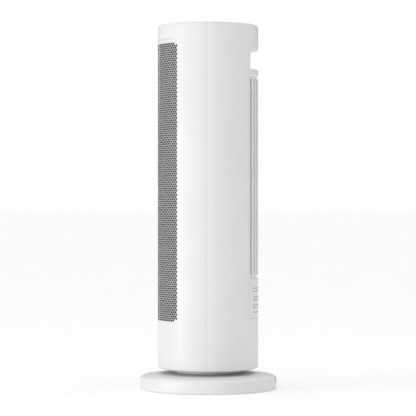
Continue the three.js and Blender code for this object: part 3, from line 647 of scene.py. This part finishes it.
def staggered_centres(rows):
    """Hole places, every other row shifted by half a pitch, with spare cells past both edges."""
    row, column = np.meshgrid(rows, np.arange(-18, 19), indexing="ij")
    shift = np.where(row % 2 == 0, 0.5, 0.0)
    return np.stack([(column + shift) * column_pitch, first_row + row * row_pitch], axis=-1).reshape(-1, 2)


side_corner = (row_pitch**2 - column_pitch**2 / 4) / (2 * row_pitch)
end_corner = row_pitch - side_corner
quarter = np.array([
    [column_pitch / 2, 0],
    [column_pitch / 2, side_corner],
    [column_pitch / 4, (side_corner + end_corner) / 2],
])
grille_cell = np.concatenate([
    quarter, [[0, end_corner]], quarter[::-1] * [-1, 1], (quarter * [-1, -1])[1:],
    [[0, -end_corner]], (quarter[::-1] * [1, -1])[:-1],
])
hole_turns = np.radians(np.arange(12) * 30)
grille_hole = np.stack([
    hole_half_width * np.cos(hole_turns), hole_half_height * np.sin(hole_turns),
], axis=-1)
sheet_edge = (grille_half, grille_low.z * 1000, grille_high.z * 1000, grille_corner)
last_row = first_row + (row_count - 1) * row_pitch
hole_field = (field_half, first_row - 0.1, last_row + 0.1, field_corner)
split_row = row_count // 2
lengths = {"lower": np.arange(-3, split_row), "upper": np.arange(split_row, row_count + 3)}
for length_name, rows in lengths.items():
    centres = staggered_centres(rows)
    reached = inside_by(centres, *sheet_edge) > -end_corner
    centres = centres[reached]
    is_open = inside_by(centres, *hole_field) >= 0
    points, faces, coated_count = punched_sheet(
        centres, is_open, grille_cell, grille_hole, sheet_edge, FRONT, body_radius - 0.15, sheet_thickness,
    )
    length = add_piece(
        f"grille_sheet_{length_name}", points, faces, coated_sheet, "tower", "grille_sheet",
        ["front_grille"], crease=40,
    )
    # The hole walls, rim and back take the painted shade; the front keeps the white coat.
    length.data.materials.append(hole_shade_paint)
    painted_shade_faces = (np.arange(len(length.data.polygons)) >= coated_count).astype(np.int32)
    length.data.polygons.foreach_set("material_index", painted_shade_faces)

# ---- Rear intake panel ------------------------------------------------------
# One white moulding that unclips for cleaning: two side rails, eight upright fins between
# them, a V groove above and below the fins, a plain lower part and a rounded ledge on top.
# Its skin is a sheet over (across, up) that sinks straight in at every fin edge.

fin_pitch = 7.7
fin_width = fin_pitch - 3.6
fin_count = 10
panel_depth = 7.5
lower_notch, upper_notch, notch_depth = 195, 540, 3.5
slot_low, slot_high = lower_notch + notch_depth, upper_notch - notch_depth
panel_bottom = panel_low.z * 1000
panel_top = panel_high.z * 1000
ledge_radius = 1.6
lower_corner = 4.7


def rear_panel_skin():
    """Depth of the skin over a grid of upright lines at the fin edges and level lines at the grooves.

    The lines come in close pairs where the skin turns straight in, and slots are left out.
    """
    steep = 0.02
    arc = body_radius * np.radians(fin_width) / 2
    profile = np.array([
        -arc, -arc + steep, -arc + 0.25, -arc + 0.6, -0.8, 0.8, arc - 0.6, arc - 0.25, arc - steep, arc,
    ])
    round_off = np.array([1, 0.09, 0.03, 0, 0, 0, 0, 0.03, 0.09, 1])
    middles = body_radius * np.radians((np.arange(fin_count) - (fin_count - 1) / 2) * fin_pitch)
    across = (middles[:, None] + profile).ravel()
    sink = np.tile(round_off, fin_count)
    sink[[0, -1]] = 0.09
    grip_half = middles[-1] - arc
    up = np.concatenate([
        panel_bottom + lower_corner * (1 - np.cos(np.linspace(0, np.pi / 2, 9))),
        np.linspace(panel_bottom + 10, lower_notch - notch_depth - 0.4, 7),
        lower_notch + np.array([-notch_depth, -0.4, 0.4, notch_depth - 0.01]),
        [slot_low, slot_low + steep],
        slot_low + np.array([0.5, 1.5]),
        np.linspace(slot_low + 20, slot_high - 20, 14),
        slot_high - np.array([1.5, 0.5]),
        [slot_high - steep, slot_high],
        upper_notch + np.array([-notch_depth + 0.01, -0.4, 0.4, notch_depth]),
        panel_top - ledge_radius * np.array([4, 1, 0.6, 0.3, 0.08]),
        [panel_top],
    ])
    ledge = np.clip((up - panel_top) / ledge_radius + 1, 0, 1)
    ledge_round = ledge_radius * (1 - np.sqrt(1 - ledge**2))
    inner = np.abs(across) < grip_half + 1e-6
    slotted = (up > slot_low + steep / 2) & (up < slot_high - steep / 2)
    groove = np.maximum(
        np.maximum(notch_depth - np.abs(up - lower_notch), 0),
        np.maximum(notch_depth - np.abs(up - upper_notch), 0),
    )
    depth = np.where(inner[None], groove[:, None], 0) + ledge_round[:, None]
    depth += np.where(slotted[:, None], sink[None] * panel_depth, 0)
    depth[:, ~inner] = np.maximum(depth[:, ~inner], sink[~inner] * panel_depth * 0.9)
    depth[-1] = panel_depth
    narrow = np.clip(up - panel_bottom, 0, lower_corner)
    indent = lower_corner - np.sqrt(np.maximum(lower_corner**2 - (lower_corner - narrow) ** 2, 0))
    width = across[None] * (1 - indent[:, None] / panel_half)
    points = wrapped(REAR, width / body_radius, body_radius - depth, up[:, None] + 0 * width)
    faces = grid_faces(len(up), len(across))
    cell_row, cell_column = np.divmod(np.arange(len(faces)), len(across) - 1)
    level = (up[cell_row] + up[cell_row + 1]) / 2
    between_fins = cell_column % len(profile) == len(profile) - 1
    in_slot = between_fins & (level > slot_low + steep) & (level < slot_high - steep)
    return weld(points.reshape(-1, 3), faces[~in_slot])


intake_panel = add_piece(
    "intake_panel", *rear_panel_skin(), white_plastic, "tower", "white_shell", ["rear_panel"], crease=28,
)
intake_wall = intake_panel.modifiers.new("wall", "SOLIDIFY")
intake_wall.thickness = 0.0014
intake_wall.offset = -1

# ---- Blank rating field -----------------------------------------------------
# Rows of plain grey bars printed on the lower part of the panel, where a maker's data
# would be. They are thin pads of ink, broken into lengths, and they spell nothing.

print_ink = finish_of("grey_print", (0.30, 0.30, 0.31), (0.36, 0.36, 0.37), (0.5, 0.6), 2000, 0.00001)
bar_rows = (175.6, 170.5, 160.2, 155.3, 146.5, 142.0, 134.2)
bar_half = 41.5
rng = np.random.default_rng(7)
bar_ends = []
for level in bar_rows:
    cuts = np.sort(rng.uniform(-bar_half + 8, bar_half - 8, 4))
    starts = np.concatenate([[-bar_half], cuts + 0.9])
    ends = np.concatenate([cuts - 0.9, [bar_half]])
    bar_ends += [(a, b, level) for a, b in zip(starts, ends) if b - a > 3]
bars = np.array(bar_ends)
bar_steps = np.linspace(0, 1, 9)
bar_across = bars[:, :1] + (bars[:, 1:2] - bars[:, :1]) * bar_steps
bar_height = 0.75
bar_section = np.array([[-bar_height, 0.02], [-bar_height, 0.07], [bar_height, 0.07], [bar_height, 0.02]])
bar_points = wrapped(
    REAR,
    (bar_across / body_radius)[:, None, :],
    body_radius + bar_section[None, :, 1:2],
    bars[:, 2][:, None, None] + bar_section[None, :, :1],
)
one_bar = grid_faces(4, len(bar_steps), closed_rows=True)
end_caps = np.array([[0, 1, 2, 3], [3, 2, 1, 0]]) * len(bar_steps) + [[0], [len(bar_steps) - 1]]
bar_faces = np.concatenate([one_bar, end_caps])
bar_faces = (bar_faces[None] + (np.arange(len(bars)) * 4 * len(bar_steps))[:, None, None]).reshape(-1, 4)
add_piece("rating_bars", bar_points.reshape(-1, 3), bar_faces, print_ink, "tower", "grey_plastic")

# ---- Grip cup ---------------------------------------------------------------
# The pocket above the intake panel that fingers reach into. It is a moulded box with round
# inner corners: rings of one outline run from its mouth on the tower's curve to its back.

grip_half = body_radius * math.sin(math.radians((fin_count * fin_pitch - 3.6) / 2 - fin_width))
flange_half = panel_high.x * 1000
grip_floor = panel_top
grip_back = cup_low.y * 1000 + 2.5
mouth_radius = body_radius - panel_depth - 0.3


def grip_pocket():
    """Rings of a rounded rectangle: straight in from the mouth, then a quarter round to the back.

    The mouth lies on the panel's inner curve, and along its roof on the shell's.
    """
    middle_up = (grip_floor + overhang) / 2
    half_up = (overhang - grip_floor) / 2
    outline = filleted([
        (-grip_half, -half_up, 2), (grip_half, -half_up, 2),
        (grip_half, half_up, 2), (-grip_half, half_up, 2),
    ], steps=5)
    dense = []
    for start, end in zip(outline, np.roll(outline, -1, axis=0)):
        pieces = max(1, int(np.linalg.norm(end - start) // 4))
        dense.append(start + (end - start) * np.linspace(0, 1, pieces, endpoint=False)[:, None])
    outline = np.concatenate(dense)
    curl = 5
    turn = np.radians(np.linspace(0, 90, 7))
    inset = np.concatenate([[0, 0, 0], curl * (1 - np.cos(turn[1:]))])
    reach = np.where(outline[:, 1] > half_up - 0.5, body_radius - shell_wall - 0.4, mouth_radius)
    mouth = np.sqrt(reach**2 - outline[:, 0] ** 2)
    inmost = grip_back + curl
    depth_rows = [mouth, (mouth + inmost) / 2, 0 * mouth + inmost]
    depth_rows += [0 * mouth + inmost - curl * np.sin(value) for value in turn[1:]]
    rings = []
    for shrink, depth in zip(inset, depth_rows):
        spots = outline * (1 - shrink / np.array([grip_half, half_up]))
        rings.append(np.stack([spots[:, 0], depth, middle_up + spots[:, 1]], axis=-1))
    faces = grid_faces(len(rings), len(outline), closed_columns=True)
    cap = np.arange(len(outline)) + (len(rings) - 1) * len(outline)
    return np.concatenate(rings), faces[:, ::-1].tolist() + [cap[::-1].tolist()]


def grip_flange(side):
    """A flush strip beside the mouth: one outline at three distances from the axis, capped."""
    outline = filleted([
        (grip_half, grip_floor + 0.3, 0.3), (flange_half, grip_floor + 0.3, 0.3),
        (flange_half, overhang - 0.3, 4.7), (grip_half, overhang - 0.3, 0.3),
    ], steps=6)
    middle = outline.mean(axis=0)
    inwards = (middle - outline) / np.linalg.norm(middle - outline, axis=1, keepdims=True)
    rings = []
    for radius, inset in ((mouth_radius - 1, 0), (body_radius - 0.3, 0), (body_radius, 0.3)):
        spots = outline + inwards * inset
        away = np.sqrt(radius**2 - spots[:, 0] ** 2)
        rings.append(np.stack([side * spots[:, 0], away, spots[:, 1]], axis=-1))
    count = len(outline)
    faces = grid_faces(3, count, closed_columns=True).tolist()
    faces += [list(range(count))[::-1], list(range(2 * count, 3 * count))]
    if side > 0:
        faces = [face[::-1] for face in faces]
    return np.concatenate(rings), faces


grip_points, grip_faces = grip_pocket()
grip_cup = add_piece(
    "grip_pocket", grip_points, grip_faces, white_plastic, "tower", "white_shell", ["grip_cup"],
)
# The pocket's side facing into the tower takes the near-black painted shade.
grip_cup.data.materials.append(painted_shade_lining)
cup_wall = grip_cup.modifiers.new("wall", "SOLIDIFY")
cup_wall.thickness = 0.0018
cup_wall.offset = -1
cup_wall.material_offset = 1
for side_name, side in (("left", -1), ("right", 1)):
    add_piece(
        f"grip_flange_{side_name}", *grip_flange(side), white_plastic, "tower", "white_shell", ["grip_cup"],
    )

# ---- Filter screen ----------------------------------------------------------
# A fine grey mesh behind the fins that catches lint. It is a sheet of square meshes bent to
# the panel's inner curve, thin enough to see the dark duct through.

screen_low, screen_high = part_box("filter_screen")
screen_radius = screen_high.y * 1000
mesh_pitch = 2.6
mesh_open_share = 0.74
mesh_thickness = 0.35
screen_half = screen_radius * np.arcsin(screen_high.x * 1000 / screen_radius)
screen_edge = (screen_half, screen_low.z * 1000, screen_high.z * 1000, 1)
screen_rows = int((screen_edge[2] - screen_edge[1]) // mesh_pitch) + 1
screen_columns = int(2 * screen_half // mesh_pitch) + 1
mesh_across = (np.arange(screen_columns) - (screen_columns - 1) / 2) * mesh_pitch
mesh_up = screen_edge[1] + (np.arange(screen_rows) + 0.5) * mesh_pitch
screen_centres = np.stack(np.meshgrid(mesh_across, mesh_up), axis=-1).reshape(-1, 2)
square = np.array([[-1, -1], [1, -1], [1, 1], [-1, 1]]) * mesh_pitch / 2
filter_grey = finish_of(
    "filter_grey", (0.07, 0.072, 0.075), (0.10, 0.102, 0.105), (0.6, 0.75), 1500, 0.00003,
)
screen_open = inside_by(screen_centres, *screen_edge) > mesh_pitch * 0.6
screen_points, screen_faces, _ = punched_sheet(
    screen_centres, screen_open, square, square * mesh_open_share, screen_edge, REAR, screen_radius,
    mesh_thickness,
)
add_piece(
    "lint_screen", screen_points, screen_faces, filter_grey, "tower", "filter_mesh", ["filter_screen"],
    crease=40,
)

# ---- Top panel and keys -----------------------------------------------------
# A flat white disc set a millimetre below the rim, with a smoked display window and five
# round keys in an arc on the front side. The keys are slightly dished and spring back.

plate_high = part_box("top_panel")[1]
plate_radius = plate_high.x * 1000
plate_top = plate_high.z * 1000
window_low, window_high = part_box("display_window")
keys = ["mode", "cooler", "power", "warmer", "swing"]


def circle(x, y, radius, steps):
    """A round outline about a point."""
    turn = np.linspace(0, 2 * np.pi, steps, endpoint=False)
    return np.stack([x + radius * np.cos(turn), y + radius * np.sin(turn)], axis=-1)


def key_place(key):
    """The middle of a key, in millimetres."""
    low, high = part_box(f"button_{key}")
    return (low.x + high.x) * 500, (low.y + high.y) * 500


def flat_plate(outlines, level):
    """A level face with the first outline as its edge and the others as holes in it."""
    loops = [[Vector((x, y, 0)) for x, y in outline] for outline in outlines]
    flat = np.concatenate(outlines)
    points = np.column_stack([flat, np.full(len(flat), level)])
    faces = np.array(tessellate_polygon(loops))
    edge = points[faces]
    lift = np.cross(edge[:, 1] - edge[:, 0], edge[:, 2] - edge[:, 0])[:, 2]
    faces[lift < 0] = faces[lift < 0][:, ::-1]
    return points, faces[np.abs(lift) > 1e-6]


window_edges = (window_low.x * 1000, window_low.y * 1000, window_high.x * 1000, window_high.y * 1000)


def window_outline(margin):
    """The display's outline, a rectangle with round corners."""
    x0, y0, x1, y1 = window_edges
    corner = 4 + margin
    return filleted([
        (x0 - margin, y0 - margin, corner), (x1 + margin, y0 - margin, corner),
        (x1 + margin, y1 + margin, corner), (x0 - margin, y1 + margin, corner),
    ], steps=8)


key_radius = 8
key_steps = 48
plate_thickness = 3
lens_thickness = 2.4
plate_outlines = [circle(0, 0, plate_radius, 192)]
plate_outlines += [circle(*key_place(key), key_radius + 0.3, key_steps) for key in keys]
plate_outlines.append(window_outline(0.25))
top_plate = add_piece(
    "top_plate", *flat_plate(plate_outlines, plate_top), white_plastic, "tower", "white_shell",
    ["top_panel"],
)
give_wall(top_plate, plate_thickness, 0.3)

smoked_gloss = finish_of(
    "smoked_gloss", (0.008, 0.009, 0.010), (0.011, 0.012, 0.013), (0.06, 0.1), 300, 0.0, Coat_Weight=0.6,
)
lens = add_piece(
    "display_lens", *flat_plate([window_outline(0)], plate_top), smoked_gloss, "tower", "display_gloss",
    ["display_window"],
)
give_wall(lens, lens_thickness, 0.4)

key_plastic = finish_of(
    "key_grey_plastic", (0.60, 0.60, 0.61), (0.63, 0.63, 0.64), (0.36, 0.46), 2400, 0.00002,
)
key_skirt = plate_top - 6
stem_foot = plate_top - 5.3
collar_top = plate_top - 3.3


def key_cap(x, y, top):
    """A cap with a rolled edge and a shallow dish, turned about the key's own axis."""
    outline = filleted([
        (0.01, key_skirt, 0), (2.5, key_skirt, 0), (2.5, stem_foot, 0), (key_radius + 1.5, stem_foot, 0.2),
        (key_radius + 1.5, collar_top, 0.2), (key_radius, collar_top, 0), (key_radius, top, 0.9),
        (key_radius - 2, top - 0.1, 1.5), (3, top - 0.55, 3), (0.01, top - 0.6, 0),
    ], steps=5)
    points, faces = turned(outline, key_steps, (x, y))
    foot = np.arange(key_steps)
    crown = foot + key_steps * (len(outline) - 1)
    return points, faces[:-key_steps].tolist() + [foot[::-1].tolist(), crown.tolist()]


for key in keys:
    x, y = key_place(key)
    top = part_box(f"button_{key}")[1].z * 1000
    add_piece(
        f"key_{key}", *key_cap(x, y, top), key_plastic, f"button_{key}", "grey_plastic", [f"button_{key}"],
    )

# ---- Fan wheel --------------------------------------------------------------
# A long tangential wheel in dark plastic: bays of thin curved blades between hoops and two
# end discs, each bay turned a little from the last. The blades overlap when seen end to end.

wheel_low, wheel_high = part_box("fan_wheel")
wheel_radius = wheel_high.x * 1000
wheel_middle = (0, (wheel_low.y + wheel_high.y) * 500)
wheel_bottom, wheel_top = wheel_low.z * 1000, wheel_high.z * 1000
bay_count = 6
blade_count = 32
blade_root = 20.5
blade_sweep = 0.34
blade_half_thickness = 0.35
disc_thickness = 3
hoop_thickness = 1.6
shaft_bore = 3.3
bay_edges = np.linspace(wheel_bottom + disc_thickness, wheel_top - disc_thickness, bay_count + 1)


def wheel_blades():
    """Every blade of every bay: a line that sweeps round as it runs outwards, thickened and
    carried up from the bay's lower ring to its upper one.
    """
    way = np.linspace(0, 1, 7)
    radius = blade_root + (wheel_radius - 0.4 - blade_root) * way
    turn = blade_sweep * way**1.3
    line = np.stack([radius * np.cos(turn), radius * np.sin(turn)], axis=-1)
    heading = np.gradient(line, axis=0)
    heading /= np.linalg.norm(heading, axis=1, keepdims=True)
    across = blade_half_thickness * np.stack([-heading[:, 1], heading[:, 0]], axis=-1)
    outline = np.concatenate([line - across, (line + across)[::-1]])
    count = len(outline)
    pitch = 2 * np.pi / blade_count
    bay, blade = np.divmod(np.arange(bay_count * blade_count), blade_count)
    place = (blade + bay / 3) * pitch
    cosine, sine = np.cos(place)[:, None], np.sin(place)[:, None]
    points = np.empty((len(bay), 2, count, 3))
    points[..., 0] = (wheel_middle[0] + outline[:, 0] * cosine - outline[:, 1] * sine)[:, None]
    points[..., 1] = (wheel_middle[1] + outline[:, 0] * sine + outline[:, 1] * cosine)[:, None]
    points[:, 0, :, 2] = (bay_edges[bay] + hoop_thickness / 2 * (bay > 0))[:, None]
    points[:, 1, :, 2] = (bay_edges[bay + 1] - hoop_thickness / 2 * (bay < bay_count - 1))[:, None]
    rung = np.arange(count // 2 - 1)
    cap = np.stack([rung, rung + 1, count - 2 - rung, count - 1 - rung], axis=-1)
    one_blade = np.concatenate([grid_faces(2, count, closed_columns=True), cap[:, ::-1], cap + count])
    starts = np.arange(len(bay)) * 2 * count
    return points.reshape(-1, 3), (one_blade[None] + starts[:, None, None]).reshape(-1, 4)


add_piece("fan_blades", *wheel_blades(), dark_plastic, "fan_rotor", "dark_plastic", ["fan_wheel"])
fan_rings = [(wheel_bottom, bay_edges[0], shaft_bore), (bay_edges[-1], wheel_top, shaft_bore)]
fan_rings += [
    (edge - hoop_thickness / 2, edge + hoop_thickness / 2, blade_root - 0.4) for edge in bay_edges[1:-1]
]
for number, (low, high, bore) in enumerate(fan_rings, 1):
    ring_outline = filleted([
        (bore, low, 0.2), (wheel_radius, low, 0.4), (wheel_radius, high, 0.4), (bore, high, 0.2),
    ], steps=3)
    add_piece(
        f"fan_ring_{number}", *turned(ring_outline, 72, wheel_middle), dark_plastic, "fan_rotor",
        "dark_plastic", ["fan_wheel"],
    )

# ---- Inner works ------------------------------------------------------------
# What the shells hold: frames and duct in dark plastic, steel motors, shaft and bearing,
# the ceramic cores with their aluminium fins, and the two circuit boards. The cores' and heat
# sink's metal is darker than bare aluminium and the thermal cut-out near black: painted shade
# for the dark inside of the tower.

# Darker than bare aluminium: painted shade, so the cores and heat sink sit dark inside the tower.
core_metal_painted_shade = finish_of(
    "core_metal_painted_shade", (0.16, 0.16, 0.165), (0.24, 0.24, 0.245), (0.6, 0.72), 500, 0.00004, metallic=0.8,
)
board_mask = finish_of("solder_mask", (0.01, 0.07, 0.035), (0.015, 0.10, 0.05), (0.3, 0.45), 400, 0.00005)
wire_sleeve = finish_of("wire_sleeve", (0.015, 0.015, 0.016), (0.03, 0.03, 0.03), (0.5, 0.7), 1200, 0.0001)
duct_black = finish_of(
    "duct_black", (0.008, 0.008, 0.009), (0.013, 0.013, 0.014), (0.75, 0.9), 1500, 0.00003,
    Specular_IOR_Level=0.15,
)
# Near black in place of zinc steel: painted shade, so the cut-out sits dark inside the tower.
cutout_shade_finish = finish_of(
    "painted_shade_cutout", (0.03, 0.03, 0.031), (0.05, 0.05, 0.052), (0.5, 0.65), 700, 0.00002, metallic=0.8,
)
give(dark_plastic, "turntable", "lower_frame", "top_frame")
give(duct_black, "lower_deck", "upper_deck", "scroll_wall", "tongue_wall", "heater_frame", "outlet_guard")
give(pale_plastic, "swing_gear", "swing_pinion")
give(zinc_steel, "retaining_washer", "fan_motor", "top_bearing", "wheel_shaft")
give(cutout_shade_finish, "thermal_cutout")
give(core_metal_painted_shade, "heating_core_1", "heating_core_2", "heating_core_3", "heat_sink")
give(board_mask, "power_board", "key_board")
give(wire_sleeve, "wire_harness")
